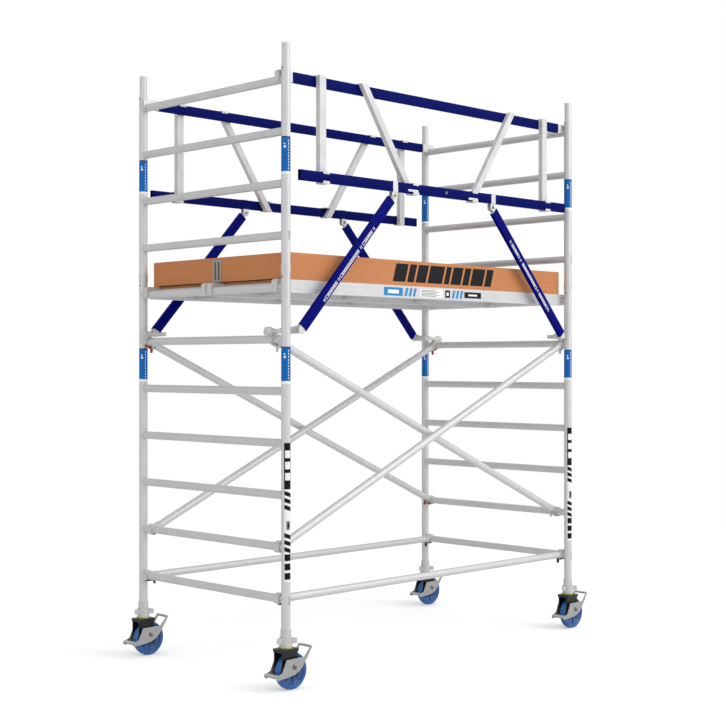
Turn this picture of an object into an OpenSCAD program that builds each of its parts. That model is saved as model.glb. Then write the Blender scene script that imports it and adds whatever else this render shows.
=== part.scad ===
// Rolling frame scaffold: two ladder frames on each end, claw braces, a double deck at 2.2 m,
// folding guardrails and four adjustable braked castors. Millimetres, +Z up, floor at z = 0.
// Left is -X, right is +X, front is -Y, back is +Y.

/* [Frames] */
// Distance between the two end frames, stile axis to stile axis
frame_length = 2510; // [2300:10:3000]
// Distance between the two stiles of one frame, axis to axis
frame_width = 1280; // [1200:10:1400]
// Outer diameter of a stile
stile_d = 50; // [48:0.5:52]
// Outer diameter of a rung
rung_d = 45; // [44:0.5:46]
// Height of the lowest rung's axis above the floor
first_rung_z = 485; // [470:5:520]
// Distance from one rung axis to the next
rung_pitch = 280; // [270:5:290]
// Wall thickness of stiles and rungs
tube_wall = 2.5; // [2:0.25:3]
// Length of a spigot above the stile it is fixed in
spigot_rise = 118; // [90:1:140]

/* [Braces] */
// Outer diameter of a brace tube
brace_d = 44; // [40:0.5:46]
// Distance of the outer brace plane from the middle of the scaffold
brace_outer_y = 592; // [585:1:594]
// Distance of the inner brace plane from the middle of the scaffold
brace_inner_y = 545; // [530:1:546]

/* [Platform] */
// Half length of a deck between its end faces
deck_half_length = 1184; // [1100:1:1190]
// Width of one deck
deck_width = 598; // [560:1:598]
// Height of a side beam
beam_height = 72; // [60:1:80]
// Height of the toe boards
toe_height = 148; // [140:1:160]
// Length of the trapdoor
trapdoor_length = 640; // [560:10:700]

/* [Guardrail] */
// Height of a guardrail tube
rail_height = 58; // [50:1:62]
// Thickness of a guardrail tube
rail_thick = 25; // [20:1:26]
// Half length of the guardrails
rail_half_length = 1178; // [1100:1:1185]
// Distance of the strut pivots from the middle
strut_pivot_x = 440; // [420:5:460]

/* [Castors] */
// Wheel diameter
wheel_d = 200; // [180:5:200]
// Wheel tread width
wheel_w = 48; // [44:1:50]
// Distance of the axle behind the swivel axis
trail = 36; // [30:1:45]
// Diameter of the adjustable leg's threaded tube
leg_d = 38; // [34:1:40]
// Reach of the brake rocker from the swivel axis to its release bar
brake_reach = 147; // [140:1:160]

/* [Hidden] */
$fn = 48;

LEFT = -1;
RIGHT = 1;
FRONT = -1;
BACK = 1;
SIDES = [-1, 1];
FIT = 0.05;    // radial clearance of a pin in its bore
GAP = 0.3;     // clearance between pieces that are not a fit
SEAM = 0.1;    // joint line between pieces fastened side by side

metal = [0.80, 0.80, 0.80];
casting = [0.86, 0.86, 0.85];
rail_blue = [0.02, 0.08, 0.45];
wheel_blue = [0.10, 0.37, 0.62];
fork_black = [0.12, 0.11, 0.12];
steel = [0.62, 0.61, 0.60];
wood = [0.78, 0.48, 0.27];
trigger_red = [0.60, 0.08, 0.12];
trigger_blue = [0.06, 0.07, 0.25];

post_x = frame_length / 2;
post_y = frame_width / 2;
lower_rungs = 7;
upper_rungs = 4;
deck_rung = lower_rungs - 1;
seat_z = 283;                                        // bottom face of the stiles
joint_z = first_rung_z + deck_rung * rung_pitch + 75;  // where the upper frame stands on the lower
top_z = first_rung_z + (lower_rungs + upper_rungs - 1) * rung_pitch + 75;
spigot_d = stile_d - 2 * tube_wall - 1;
spigot_wall = 3;
spigot_depth = 150;
rivet_drop = 20;
rivet_r = 3;

function rung_z(i) = first_rung_z + i * rung_pitch;

// ---- shared shapes -------------------------------------------------------------------------

// A tube along +Z
module tube(d, wall, length) {
  difference() {
    cylinder(d = d, h = length);
    translate([0, 0, -1]) cylinder(d = d - 2 * wall, h = length + 2);
  }
}

// A flat plate whose outline lies in the X-Z plane, centred on y = 0
module side_plate(thickness) {
  rotate([90, 0, 0]) linear_extrude(height = thickness, center = true) children();
}

// Places a piece made for the back right corner at any corner
module corner(sx, sy) {
  mirror([sx > 0 ? 0 : 1, 0, 0]) mirror([0, sy > 0 ? 0 : 1, 0]) children();
}

// A cylinder along Y, centred
module y_pin(r, length) {
  rotate([90, 0, 0]) cylinder(r = r, h = length, center = true);
}

// A rectangular tube along X, centred
module box_tube(length, thick, high, wall) {
  difference() {
    cube([length, thick, high], center = true);
    cube([length + 2, thick - 2 * wall, high - 2 * wall], center = true);
  }
}

// Puts a piece on the stile axis of one corner
module at_stile(sx, sy) {
  translate([sx * post_x, sy * post_y, 0]) children();
}

// Repeats a piece on the four stile axes
module at_posts() {
  for (sx = SIDES, sy = SIDES) at_stile(sx, sy) children();
}

// Puts a piece at one end, its +X pointing to the middle of the scaffold
module at_end(sx) {
  translate([sx * post_x, 0, 0]) mirror([sx > 0 ? 1 : 0, 0, 0]) children();
}

// ---- frames ---------------------------------------------------------------------------------

module rivet_holes(z) {
  translate([0, 0, z]) rotate([0, 90, 0]) cylinder(r = rivet_r + 0.1, h = 2 * stile_d, center = true);
}

module stiles(z0, z1) {
  color(metal) at_posts() difference() {
    translate([0, 0, z0]) tube(stile_d, tube_wall, z1 - z0);
    rivet_holes(z1 - rivet_drop);
  }
}

// Outline of a rung: a round tube with one shallow groove along each side
module rung_outline() {
  groove_w = 4;
  groove_depth = 1.2;
  groove_drop = 6;
  difference() {
    circle(d = rung_d);
    circle(d = rung_d - 2 * tube_wall);
    for (s = SIDES) translate([s * rung_d / 2, -groove_drop]) {
      square([2 * groove_depth, groove_w], center = true);
    }
  }
}

// One rung between two stiles, its ends cut to the stiles' round surface
module rung(z) {
  difference() {
    translate([0, 0, z]) rotate([90, 0, 0]) {
      linear_extrude(height = frame_width, center = true) rung_outline();
    }
    for (sy = SIDES) translate([0, sy * post_y, z - rung_d]) cylinder(d = stile_d, h = 2 * rung_d);
  }
}

module rungs(first, count) {
  color(metal) for (sx = SIDES, i = [first:first + count - 1]) at_end(sx) rung(rung_z(i));
}

// A spigot's root fills the bore of the stile it is fixed in, and its free end is a little slimmer
module frame_spigots() {
  root_d = stile_d - 2 * tube_wall - 2 * FIT;
  color(metal) at_posts() for (z = [joint_z, top_z]) translate([0, 0, z]) difference() {
    union() {
      translate([0, 0, -spigot_depth]) cylinder(d = root_d, h = spigot_depth);
      translate([0, 0, -1]) cylinder(d = spigot_d, h = spigot_rise + 1);
    }
    cylinder(d = spigot_d - 2 * spigot_wall, h = 4 * spigot_depth, center = true);
    rivet_holes(-rivet_drop);
  }
}

module frame_collars() {
  collar_d = stile_d + 4;
  collar_h = 46;
  color(metal) at_posts() translate([0, 0, joint_z + 1]) difference() {
    cylinder(d = collar_d, h = collar_h);
    translate([0, 0, -1]) cylinder(d = stile_d + 0.1, h = collar_h + 2);
  }
}

module frame_rivets() {
  head_r = 5;
  head_h = 2;
  color(steel) at_posts() for (z = [joint_z, top_z]) {
    translate([0, 0, z - rivet_drop]) rotate([0, 90, 0]) {
      cylinder(r = rivet_r, h = stile_d + head_h, center = true);
      for (s = SIDES) translate([0, 0, s * (stile_d + head_h) / 2]) {
        cylinder(r = head_r, h = head_h, center = true);
      }
    }
  }
}

// ---- braces, claws and triggers ---------------------------------------------------------------

claw_reach = 66;      // from the rung's axis to the end of the brace tube
claw_width = 40;
claw_bore_r = rung_d / 2 + GAP;
claw_outer_r = 33;
pin_x = 40;
pin_z = -24;
pin_r = 2.5;
trigger_w = 15;
low_rung = 1;         // diagonals run between rung 2 and rung 6
high_rung = 5;
diagonal_rise = (high_rung - low_rung) * rung_pitch;
diagonal_slope = atan2(diagonal_rise, frame_length);
diagonal_length = norm([frame_length, diagonal_rise]);

// Each brace: side y, rung at its left end, rung at its right end
function rising_y(sy) = sy == FRONT ? -brace_outer_y : brace_inner_y;
function falling_y(sy) = sy == FRONT ? -brace_inner_y : brace_outer_y;

// A claw's own frame: origin on the rung's axis, +X along the brace towards its other end
module claw_frame(sx, y, z, slope) {
  translate([sx * post_x, y, z]) mirror([sx > 0 ? 1 : 0, 0, 0]) rotate([0, -slope, 0]) children();
}

// Repeats a piece on the frame of every claw
module at_claws() {
  for (sy = SIDES) {
    for (sx = SIDES) claw_frame(sx, sy * brace_outer_y, rung_z(0), 0) children();
    claw_frame(LEFT, rising_y(sy), rung_z(low_rung), diagonal_slope) children();
    claw_frame(RIGHT, rising_y(sy), rung_z(high_rung), -diagonal_slope) children();
    claw_frame(LEFT, falling_y(sy), rung_z(high_rung), -diagonal_slope) children();
    claw_frame(RIGHT, falling_y(sy), rung_z(low_rung), diagonal_slope) children();
  }
}

module brace(length) {
  translate([claw_reach, 0, 0]) rotate([0, 90, 0]) tube(brace_d, tube_wall, length - 2 * claw_reach);
}

module horizontal_braces() {
  color(metal) for (sy = SIDES) claw_frame(LEFT, sy * brace_outer_y, rung_z(0), 0) brace(frame_length);
}

module diagonal_braces() {
  color(metal) for (sy = SIDES) {
    claw_frame(LEFT, rising_y(sy), rung_z(low_rung), diagonal_slope) brace(diagonal_length);
    claw_frame(LEFT, falling_y(sy), rung_z(high_rung), -diagonal_slope) brace(diagonal_length);
  }
}

// The jaw that drops over a rung, with its shank and the two ears that hold the trigger
module claw() {
  shank_top = 20;
  shank_low = -14;
  ear_r = 8;
  ear_inner = trigger_w / 2 + GAP;
  ear_thick = 4;
  shoulder = 8;
  plug_d = brace_d - 2 * tube_wall - 1;
  plug_length = 30;
  difference() {
    union() {
      side_plate(claw_width) difference() {
        union() {
          circle(r = claw_outer_r);
          translate([0, shank_low]) square([claw_reach - shoulder, shank_top - shank_low]);
        }
        circle(r = claw_bore_r);
        translate([-claw_bore_r, -2 * claw_outer_r]) square([2 * claw_bore_r, 2 * claw_outer_r]);
      }
      translate([claw_reach - shoulder, 0, 0]) rotate([0, 90, 0]) cylinder(d = brace_d, h = shoulder);
      translate([claw_reach - 1, 0, 0]) rotate([0, 90, 0]) cylinder(d = plug_d, h = plug_length);
      for (s = SIDES) translate([0, s * (ear_inner + ear_thick / 2), 0]) side_plate(ear_thick) {
        translate([pin_x, pin_z]) circle(r = ear_r);
        translate([pin_x - ear_r, pin_z]) square([2 * ear_r, shank_low - pin_z + 1]);
      }
    }
    translate([pin_x, 0, pin_z]) y_pin(pin_r + FIT, claw_width);
  }
}

module brace_claws() {
  color(casting) at_claws() claw();
}

module trigger_pins() {
  pin_length = trigger_w + 12;
  color(steel) at_claws() translate([pin_x, 0, pin_z]) y_pin(pin_r, pin_length);
}

// Sprung latch that closes a claw's mouth under the rung, with a finger tab below its pin
module trigger(tint) {
  outline = [[46, -20], [40, -17.5], [31, -25.5], [-10, -25.5], [-14, -29], [-8, -33], [34, -34],
    [41, -38], [44, -52], [51, -52], [48, -26]];
  color(tint) difference() {
    side_plate(trigger_w) polygon(outline);
    translate([pin_x, 0, pin_z]) y_pin(pin_r + FIT, 2 * trigger_w);
  }
}

module base_trigger(sx, sy) {
  claw_frame(sx, sy * brace_outer_y, rung_z(0), 0) trigger(trigger_blue);
}

// A diagonal's trigger: low ends sit on rung 2, high ends on rung 6
module diagonal_trigger(sx, y, high) {
  z = rung_z(high ? high_rung : low_rung);
  claw_frame(sx, y, z, high ? -diagonal_slope : diagonal_slope) trigger(trigger_red);
}

// ---- guardrails -------------------------------------------------------------------------------

top_rung_z = rung_z(lower_rungs + upper_rungs - 1);
top_rail_z = top_rung_z + 21.5;
mid_rail_z = top_rail_z - 532;        // height of the middle rail's axis
top_rail_y = 607;
mid_rail_y = 663.5;
rail_wall = 2.5;
post_inner_y = top_rail_y + rail_thick / 2;
post_outer_y = mid_rail_y - rail_thick / 2;
guard_post_x = 990;
guard_post_w = 48;
lean_top_x = 664;
lean_foot_x = 266;
saddle = 5;

// Both rails of one side
module guardrails() {
  color(rail_blue) for (sy = SIDES, at = [[top_rail_y, top_rail_z], [mid_rail_y, mid_rail_z]]) {
    translate([0, sy * at[0], at[1]]) box_tube(2 * rail_half_length, rail_thick, rail_height, rail_wall);
  }
}

// One white post between the rails, with a saddle over each rail
module guard_post(top_x, foot_x) {
  high = top_rail_z + rail_height / 2;
  low = mid_rail_z - rail_height / 2;
  half = guard_post_w / 2;
  lap = 10;
  top_inner_y = top_rail_y - rail_thick / 2 - saddle;
  foot_outer_y = mid_rail_y + rail_thick / 2;
  translate([0, (post_inner_y + post_outer_y) / 2, 0]) side_plate(post_outer_y - post_inner_y) {
    polygon([[foot_x - half, low - saddle], [foot_x + half, low - saddle],
      [top_x + half, high + saddle], [top_x - half, high + saddle]]);
  }
  translate([top_x - half, top_inner_y, high]) {
    cube([guard_post_w, post_outer_y - top_inner_y, saddle]);
    translate([0, 0, -lap]) cube([guard_post_w, saddle, lap + 1]);
  }
  for (z = [low - saddle, low + rail_height]) translate([foot_x - half, post_inner_y, z]) {
    cube([guard_post_w, foot_outer_y - post_inner_y + saddle, saddle]);
  }
  for (z = [low - saddle, low + rail_height - lap]) translate([foot_x - half, foot_outer_y, z]) {
    cube([guard_post_w, saddle, lap + saddle]);
  }
}

module guardrail_posts() {
  color(casting) for (sx = SIDES, sy = SIDES) corner(sx, sy) {
    guard_post(guard_post_x, guard_post_x);
    guard_post(lean_top_x, lean_foot_x);
  }
}

// A casting that hangs over a rung: inward reach, lowest and highest edge from the rung's axis
module rung_hook(width, reach, low, high, lip_low) {
  bore = rung_d / 2 + GAP;
  lip = 12;
  corner = 10;
  side_plate(width) difference() {
    polygon([[-bore - lip, lip_low], [-bore - lip, high - corner], [-bore - lip + corner, high],
      [reach, high], [reach, low], [bore, low], [bore, 0], [-bore, 0], [-bore, lip_low]]);
    circle(r = bore);
  }
}

module guardrail_hooks() {
  hook_w = 26;
  hook_y = 601;
  color(casting) for (sx = SIDES, sy = SIDES) at_end(sx) translate([0, sy * hook_y, top_rung_z]) {
    rung_hook(hook_w, post_x - rail_half_length, -7, 50, -14);
  }
}

// ---- struts -----------------------------------------------------------------------------------

strut_y = 660;
pivot_drop = 24;                      // from the middle rail's lower face to the strut bolt
pivot_z = mid_rail_z - rail_height / 2 - pivot_drop;
strut_end_x = 1154;
strut_end_z = 1947;
strut_length = norm([strut_end_x - strut_pivot_x, pivot_z - strut_end_z]);
strut_angle = atan2(pivot_z - strut_end_z, strut_end_x - strut_pivot_x);
tongue_w = 18;
bolt_r = 5;
strut_start = 30;
hook_arm_y = 559;

// Places a piece on the bolt of the back right strut
module at_pivot() {
  translate([strut_pivot_x, strut_y, pivot_z]) children();
}

// Clamp under the lower rail with two cheeks for the strut
module strut_bracket() {
  cheek = 4;
  strap = 3;
  strap_w = 40;
  cheek_r = 22;
  cheek_y = tongue_w / 2 + 0.5;
  rail_low = rail_height / -2;
  rail_face = mid_rail_y + rail_thick / 2;
  inner_y = strut_y - cheek_y - cheek;
  difference() {
    union() {
      at_pivot() for (s = SIDES) translate([0, s * (cheek_y + cheek / 2), 0]) side_plate(cheek) {
        circle(r = cheek_r);
        translate([-cheek_r, 0]) square([2 * cheek_r, pivot_drop]);
      }
      translate([strut_pivot_x, 0, mid_rail_z]) {
        translate([-cheek_r, inner_y, rail_low - strap]) {
          cube([2 * cheek_r, rail_face + strap - inner_y, strap]);
        }
        translate([-strap_w / 2, rail_face, rail_low - strap]) {
          cube([strap_w, strap, rail_height + 2 * strap]);
        }
        translate([-strap_w / 2, rail_face - rail_thick, -rail_low]) {
          cube([strap_w, rail_thick + strap, strap]);
        }
      }
    }
    at_pivot() y_pin(bolt_r + FIT, 2 * rail_thick);
  }
}

module strut_brackets() {
  color(casting) for (sx = SIDES, sy = SIDES) corner(sx, sy) strut_bracket();
}

module strut_bolts() {
  head_r = 8;
  head_h = 5;
  shank = tongue_w + 9.6;
  color(steel) for (sx = SIDES, sy = SIDES) corner(sx, sy) at_pivot() rotate([90, 0, 0]) {
    cylinder(r = bolt_r, h = shank, center = true);
    for (s = SIDES) translate([0, 0, s * (shank + head_h - 0.2) / 2]) {
      cylinder(r = head_r, h = head_h, $fn = 6, center = true);
    }
  }
}

// Tongue that the strut turns on, its plug sitting in the tube
module strut_tongue() {
  tongue_r = 14;
  plug_h = 48;
  plug_l = 50;
  difference() {
    side_plate(tongue_w) {
      circle(r = tongue_r);
      translate([0, -tongue_r]) square([strut_start, 2 * tongue_r]);
      translate([strut_start, -plug_h / 2]) square([plug_l, plug_h]);
    }
    y_pin(bolt_r + FIT, 2 * tongue_w);
  }
}

// Fitting at the strut's lower end: an arm that lies over a rung, with a knob outside it
module strut_foot() {
  bar_x0 = 1155;
  bar_x1 = 1184;
  bar_z = 1918;
  bar_h = 24;
  arm_w = 26;
  arm_h = 16;
  knob_x = 1291;
  knob_l = 34;
  knob_r = 22;
  plug_l = 64;
  plug_h = 44;
  arm_y0 = hook_arm_y - arm_w / 2;
  at_pivot() rotate([0, strut_angle, 0]) translate([strut_length - 40, -tongue_w / 2, -plug_h / 2]) {
    cube([plug_l, tongue_w, plug_h]);
  }
  translate([bar_x0, arm_y0, bar_z]) {
    cube([bar_x1 - bar_x0, strut_y + tongue_w / 2 - arm_y0, bar_h]);
    translate([0, 0, 2]) cube([knob_x + 4 - bar_x0, arm_w, arm_h]);
  }
  translate([knob_x, hook_arm_y, bar_z + 8]) rotate([0, 90, 0]) cylinder(r = knob_r, h = knob_l);
}

// A strut: rectangular tube, tongue at the bolt and the foot that hooks on the frame
module strut(sx, sy) {
  corner(sx, sy) {
    color(rail_blue) at_pivot() rotate([0, strut_angle, 0]) {
      translate([(strut_start + strut_length) / 2, 0, 0]) {
        box_tube(strut_length - strut_start, rail_thick, rail_height, rail_wall);
      }
    }
    color(casting) at_pivot() rotate([0, strut_angle, 0]) strut_tongue();
    color(casting) strut_foot();
  }
}

// ---- platform ---------------------------------------------------------------------------------

deck_rung_z = rung_z(deck_rung);
deck_top = deck_rung_z + 46;
deck_gap = 4;                         // from the middle of the scaffold to a deck's inner side
beam_w = 40;
beam_wall = 3;
panel_t = 12;
cross_t = 30;
cross_h = 50;
panel_y0 = deck_gap + beam_w;
panel_y1 = deck_gap + deck_width - beam_w;
beam_ys = [deck_gap + beam_w / 2, deck_gap + deck_width - beam_w / 2];
hatch_x = -560;                       // middle of the hatch along the deck
hatch_clear = 4;
hinge_z = deck_top + 6;
hinge_pin_r = 2.5;
hinge_barrel_r = 5.5;
hatch_strip = 30;                     // strip of fixed panel that carries the hinges
hinge_y = hatch_strip + 6 - panel_y1;
leaf_t = 2;
door_knuckle = 30;

// Side beam: a box section with two shallow grooves along its outer face
module side_beam(y) {
  groove = 1.2;
  groove_w = 3;
  translate([0, y, deck_top - beam_height / 2]) difference() {
    box_tube(2 * deck_half_length, beam_w, beam_height, beam_wall);
    for (s = SIDES, z = [-14, 12]) translate([0, s * beam_w / 2, z]) {
      cube([2 * deck_half_length + 2, 2 * groove, groove_w], center = true);
    }
  }
}

// Cross member between the two side beams of one deck
module cross_beam(x) {
  span = panel_y1 - panel_y0 - 2 * SEAM;
  translate([x, (panel_y0 + panel_y1) / 2, deck_top - panel_t - cross_h / 2]) rotate([0, 0, 90]) {
    box_tube(span, cross_t, cross_h, beam_wall);
  }
}

module deck_beams() {
  end_x = deck_half_length - cross_t / 2;
  middle_x = 420;
  hatch_end = trapdoor_length / 2 + hatch_clear + cross_t / 2;
  color(metal) for (sy = SIDES) mirror([0, sy > 0 ? 0 : 1, 0]) {
    for (y = beam_ys) side_beam(y);
    for (x = [-end_x, hatch_x - hatch_end, hatch_x + hatch_end, middle_x, end_x]) cross_beam(x);
  }
}

// Deck panel; the front one has the hatch cut out of it
module deck_panel(hatch) {
  width = panel_y1 - panel_y0;
  hatch_x0 = hatch_x - trapdoor_length / 2 - hatch_clear;
  difference() {
    translate([-deck_half_length, panel_y0, deck_top - panel_t]) {
      cube([2 * deck_half_length, width, panel_t]);
    }
    if (hatch) translate([hatch_x0, panel_y0 + hatch_strip, deck_top - 2 * panel_t]) {
      cube([trapdoor_length + 2 * hatch_clear, width - 2 * hatch_strip, 3 * panel_t]);
    }
  }
}

module deck_panels() {
  color(wood) for (sy = SIDES) mirror([0, sy > 0 ? 0 : 1, 0]) deck_panel(sy == FRONT);
}

module deck_hooks() {
  rise = deck_top - deck_rung_z;
  color(casting) for (sx = SIDES, sy = SIDES, y = beam_ys) at_end(sx) {
    translate([0, sy * y, deck_rung_z]) rung_hook(beam_w, post_x - deck_half_length, -26, rise, -22);
  }
}

// Frame leaves, barrels and pins of the trapdoor's two hinges
module hinge_place() {
  for (s = SIDES) translate([hatch_x + s * trapdoor_length / 4, hinge_y, hinge_z]) children();
}

module trapdoor_hinges() {
  knuckle = 24;
  leaf_w = 26;
  color(steel) hinge_place() {
    for (s = SIDES) translate([s * (door_knuckle + 2 * GAP + knuckle) / 2, 0, 0]) difference() {
      union() {
        rotate([0, 90, 0]) cylinder(r = hinge_barrel_r, h = knuckle, center = true);
        translate([-knuckle / 2, -leaf_w, deck_top - hinge_z]) cube([knuckle, leaf_w, leaf_t]);
      }
      rotate([0, 90, 0]) cylinder(r = hinge_pin_r + FIT, h = 2 * knuckle, center = true);
    }
    rotate([0, 90, 0]) cylinder(r = hinge_pin_r, h = 2 * knuckle + door_knuckle + 2 * GAP, center = true);
  }
}

module trapdoor() {
  leaf_w = 60;
  door_y0 = -panel_y1 + hatch_strip + hatch_clear;
  door_y1 = -panel_y0 - hatch_strip - hatch_clear;
  recess = 0.5;                       // the door lies this much below the panel's face
  slot_l = 110;
  slot_w = 32;
  slot_inset = 45;
  color(wood) translate([hatch_x - trapdoor_length / 2, door_y0, deck_top - panel_t]) difference() {
    cube([trapdoor_length, door_y1 - door_y0, panel_t - recess]);
    translate([trapdoor_length / 2, door_y1 - door_y0 - slot_inset, -1]) {
      linear_extrude(height = panel_t + 2) {
        square([slot_l - slot_w, slot_w], center = true);
        for (s = SIDES) translate([s * (slot_l - slot_w) / 2, 0]) circle(d = slot_w);
      }
    }
  }
  color(steel) hinge_place() difference() {
    union() {
      rotate([0, 90, 0]) cylinder(r = hinge_barrel_r, h = door_knuckle, center = true);
      translate([-door_knuckle / 2, 0, deck_top - hinge_z - recess]) cube([door_knuckle, leaf_w, leaf_t]);
    }
    rotate([0, 90, 0]) cylinder(r = hinge_pin_r + FIT, h = 2 * door_knuckle, center = true);
  }
}

toe_t = 22;

module toe_boards() {
  outer_y = deck_gap + deck_width;
  color(wood) for (s = SIDES) translate([0, 0, deck_top + toe_height / 2]) {
    translate([0, s * (outer_y - toe_t / 2), 0]) {
      cube([2 * (deck_half_length - SEAM), toe_t, toe_height], center = true);
    }
    translate([s * (deck_half_length + toe_t / 2), 0, 0]) {
      cube([toe_t, 2 * outer_y, toe_height], center = true);
    }
  }
}

// Slotted plates on the end boards and angles in the four corners
module toe_board_brackets() {
  plate_w = 76;
  plate_h = 132;
  plate_t = 3;
  slot_w = 9;
  slot_h = plate_h - 30;
  angle_w = 40;
  angle_h = toe_height - 50;
  inner_y = deck_gap + deck_width - toe_t;
  face_x = deck_half_length + toe_t;
  color(steel) for (sx = SIDES) {
    translate([sx * (face_x + plate_t / 2), 0, deck_top + 6 + plate_h / 2]) difference() {
      cube([plate_t, plate_w, plate_h], center = true);
      for (s = SIDES) translate([0, s * plate_w / 5, 0]) cube([2 * plate_t, slot_w, slot_h], center = true);
    }
    for (sy = SIDES) corner(sx, sy) translate([deck_half_length, inner_y, deck_top + 20]) {
      translate([-angle_w, -plate_t, 0]) cube([angle_w, plate_t, angle_h]);
      translate([-plate_t, -angle_w, 0]) cube([plate_t, angle_w, angle_h]);
    }
  }
}

// ---- castors and adjustable legs ----------------------------------------------------------------

crown_top = 225;
crown_low = 207;
flange_z = crown_top + 1;
flange_h = 6;
nut_z = flange_z + flange_h + GAP;
nut_r = 36;
axle_z = wheel_d / 2;
axle_r = 6;
king_r = 10;
king_z = wheel_d + 1.5;               // lower end of the king pin, just above the wheel
king_head = 5;
king_head_r = 15;
fork_side = 6;
hub_half = wheel_w / 2 + 3.7;
fork_inner = hub_half + GAP;
fork_outer = fork_inner + fork_side;
plate_y = 46;
plate_t = 3;
stud_x = 22;
stud_z = 124;
stud_r = 4;

// Collar nut under each stile: skirt round the tube, body and three lugs
module leg_nut() {
  skirt_d = stile_d + 9;
  skirt_h = 42;
  lug_reach = 62;
  lug_r = 9;
  lug_h = 28;
  difference() {
    union() {
      translate([0, 0, seat_z - 2]) cylinder(d = skirt_d, h = skirt_h + 2);
      translate([0, 0, nut_z]) cylinder(r = nut_r, h = seat_z - nut_z);
      for (a = [-45, 45, 180]) rotate([0, 0, a]) translate([0, 0, seat_z - lug_h - 2]) {
        translate([0, -lug_r, 0]) cube([lug_reach - lug_r, 2 * lug_r, lug_h]);
        translate([lug_reach - lug_r, 0, 0]) cylinder(r = lug_r, h = lug_h);
      }
    }
    translate([0, 0, nut_z - 1]) cylinder(d = leg_d + 2 * GAP, h = seat_z);
    translate([0, 0, seat_z]) cylinder(d = stile_d + 0.2, h = seat_z);
  }
}

module leg_nuts() {
  color(steel) at_posts() leg_nut();
}

// Adjustable leg: threaded tube, bearing flange and the king pin that the fork turns on
module leg(sx, sy) {
  thread_top = seat_z + 400;
  bore_r = 14;
  flange_r = 40;
  pitch = 12;
  depth = 1.5;
  turns = floor((thread_top - nut_z) / pitch) - 1;
  thread = [for (i = [0:turns], p = [[0, 0], [0, 6], [-depth, 8], [-depth, 10]])
    [leg_d / 2 + p[0], nut_z + i * pitch + p[1]]];
  color(metal) at_stile(sx, sy) {
    rotate_extrude() polygon(concat(
      [[bore_r, flange_z], [leg_d / 2, flange_z]],
      thread,
      [[leg_d / 2, thread_top], [bore_r, thread_top]]));
    translate([0, 0, flange_z]) cylinder(r = flange_r, h = flange_h);
    translate([0, 0, king_z]) cylinder(r = king_r, h = flange_z - king_z + 1);
    translate([0, 0, king_z]) cylinder(r = king_head_r, h = king_head);
  }
}

// Swivel fork: flared crown with two side legs
module fork(sx, sy) {
  crown_x = 56;
  crown_y = 44;
  side = [[-crown_x, crown_low + 1], [-crown_x, 98], [-44, 84], [-10, 74], [trail, 70], [58, 76],
    [68, 96], [66, 126], [crown_x, 160], [crown_x, crown_low + 1]];
  color(fork_black) at_stile(sx, sy) difference() {
    union() {
      translate([0, 0, (crown_top + crown_low) / 2]) {
        cube([2 * crown_x, 2 * crown_y, crown_top - crown_low], center = true);
      }
      for (s = SIDES) translate([0, s * (fork_inner + fork_side / 2), 0]) {
        side_plate(fork_side) polygon(side);
      }
    }
    translate([0, 0, crown_low - 1]) cylinder(r = king_r + FIT, h = crown_top);
    translate([trail, 0, axle_z]) y_pin(axle_r + FIT, 4 * plate_y);
    translate([stud_x, 0, stud_z]) y_pin(stud_r + FIT, 4 * plate_y);
  }
}

module wheel(sx, sy) {
  crown = 6;
  rim_r = wheel_d / 2 - 26;
  side = [[28, hub_half], [30, hub_half - 4], [34, wheel_w / 2 - 10], [rim_r - 8, wheel_w / 2 - 8],
    [rim_r, wheel_w / 2], [wheel_d / 2 - 12, wheel_w / 2], [wheel_d / 2 - 3, wheel_w / 2 - crown],
    [wheel_d / 2, wheel_w / 4]];
  profile = concat(
    [[axle_r + FIT, -hub_half]], [for (p = side) [p[0], -p[1]]],
    [for (i = [len(side) - 1:-1:0]) side[i]], [[axle_r + FIT, hub_half]]);
  color(wheel_blue) at_stile(sx, sy) translate([trail, 0, axle_z]) rotate([90, 0, 0]) {
    rotate_extrude($fn = 96) polygon(profile);
  }
}

// Brake rocker: a pressed plate on each side, joined by the pedal bar and the release bar
module brake(sx, sy) {
  bar = 10;
  pedal_x = -112;
  pedal_z = 82;
  loop_z = 216;
  width = 2 * (plate_y + plate_t);
  slot_in = 14;
  slot_out = 19;
  plate = [[-38, 172], [90, 174], [brake_reach - bar, 224], [brake_reach, 218], [112, 164], [97, 147],
    [83, 126], [58, 103], [22, 85], [-32, 77], [-70, 75], [-100, 70], [pedal_x, 80], [pedal_x + 4, 92],
    [-98, 97], [-68, 107], [-53, 137]];
  color(steel) at_stile(sx, sy) difference() {
    union() {
      for (s = SIDES) translate([0, s * (plate_y + plate_t / 2), 0]) side_plate(plate_t) polygon(plate);
      translate([pedal_x, -width / 2, pedal_z]) cube([bar + 4, width, bar]);
      translate([brake_reach - bar, -width / 2, loop_z]) cube([bar, width, bar - 2]);
    }
    translate([stud_x, 0, stud_z]) difference() {
      y_pin(slot_out, 4 * plate_y);
      y_pin(slot_in, 4 * plate_y + 2);
      translate([0, -2 * plate_y - 1, -2 * slot_out]) cube([2 * slot_out, 4 * plate_y + 2, 4 * slot_out]);
      translate([-2 * slot_out, -2 * plate_y - 1, -2 * slot_out]) {
        cube([4 * slot_out, 4 * plate_y + 2, 2 * slot_out]);
      }
    }
    translate([stud_x, 0, stud_z]) y_pin(stud_r + FIT, 4 * plate_y);
  }
}

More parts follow.
